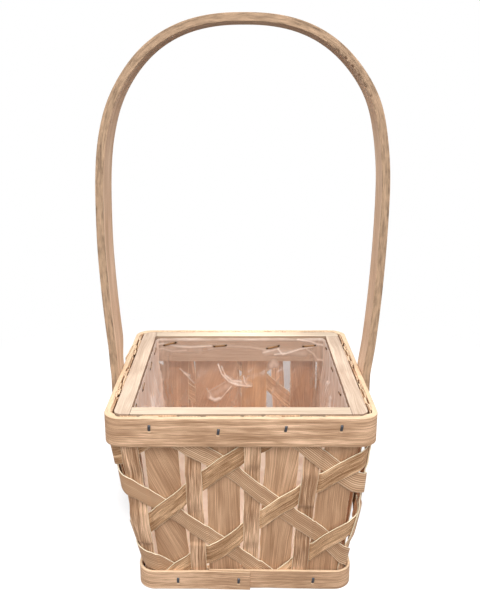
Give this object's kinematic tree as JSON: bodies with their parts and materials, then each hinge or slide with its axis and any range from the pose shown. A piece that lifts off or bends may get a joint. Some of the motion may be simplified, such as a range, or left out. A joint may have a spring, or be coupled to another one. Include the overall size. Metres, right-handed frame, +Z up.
{
  "type": "box basket",
  "caption": "Square woven-wood box basket with boarded rim, bent bands, bentwood carrying handle and a clear film liner; holds small goods or a potted plant and is carried by the handle.",
  "frame": {"origin": "on the floor under the middle of the rim and handle", "axes": "+Z up; the front face looks along -Y; the handle's arch lies in the XZ plane; +X is to the right seen from the front"},
  "size_m": [0.2098, 0.184, 0.3997],
  "materials": {
    "slat_wood": "bare sliced veneer, matt, pinkish brown upright grain",
    "stake_wood": "bare sliced veneer, matt, tan with olive grey streaks",
    "rising_wood": "bare sliced veneer, matt, tan with grain along the strip",
    "falling_wood": "bare sliced veneer, matt, finely ribbed pinkish grey",
    "band_wood": "bare bent veneer, matt, peach with wavy grain",
    "board_wood": "bare sawn softwood, matt, pale cream to pinkish",
    "handle_wood": "bare bentwood, rough sawn edges, smoother faces",
    "film": "clear soft film, wrinkled, glossy creases",
    "steel": "dull grey steel wire and nails"
  },
  "bodies": {
    "root": {"wide_slat_01": "slat_wood", "wide_slat_02": "slat_wood", "wide_slat_03": "slat_wood", "wide_slat_04": "slat_wood", "wide_slat_05": "slat_wood", "wide_slat_06": "slat_wood", "wide_slat_07": "slat_wood", "wide_slat_08": "slat_wood", "wide_slat_09": "slat_wood", "wide_slat_10": "slat_wood", "wide_slat_11": "slat_wood", "wide_slat_12": "slat_wood", "wide_slat_13": "slat_wood", "wide_slat_14": "slat_wood", "wide_slat_15": "slat_wood", "wide_slat_16": "slat_wood", "narrow_stake_01": "stake_wood", "narrow_stake_02": "stake_wood", "narrow_stake_03": "stake_wood", "narrow_stake_04": "stake_wood", "narrow_stake_05": "stake_wood", "narrow_stake_06": "stake_wood", "narrow_stake_07": "stake_wood", "narrow_stake_08": "stake_wood", "narrow_stake_09": "stake_wood", "narrow_stake_10": "stake_wood", "narrow_stake_11": "stake_wood", "narrow_stake_12": "stake_wood", "narrow_stake_13": "stake_wood", "narrow_stake_14": "stake_wood", "narrow_stake_15": "stake_wood", "narrow_stake_16": "stake_wood", "rising_diagonal_1": "rising_wood", "rising_diagonal_2": "rising_wood", "rising_diagonal_3": "rising_wood", "rising_diagonal_4": "rising_wood", "rising_diagonal_5": "rising_wood", "rising_diagonal_6": "rising_wood", "rising_diagonal_7": "rising_wood", "rising_diagonal_8": "rising_wood", "falling_diagonal_1": "falling_wood", "falling_diagonal_2": "falling_wood", "falling_diagonal_3": "falling_wood", "falling_diagonal_4": "falling_wood", "falling_diagonal_5": "falling_wood", "falling_diagonal_6": "falling_wood", "falling_diagonal_7": "falling_wood", "falling_diagonal_8": "falling_wood", "base_board": "board_wood", "rim_board_front": "board_wood", "rim_board_right": "board_wood", "rim_board_back": "board_wood", "rim_board_left": "board_wood", "rim_band": "band_wood", "base_band": "band_wood", "handle": "handle_wood", "handle_nail_left": "steel", "handle_nail_right": "steel", "liner": "film"}
  },
  "joints": []
}
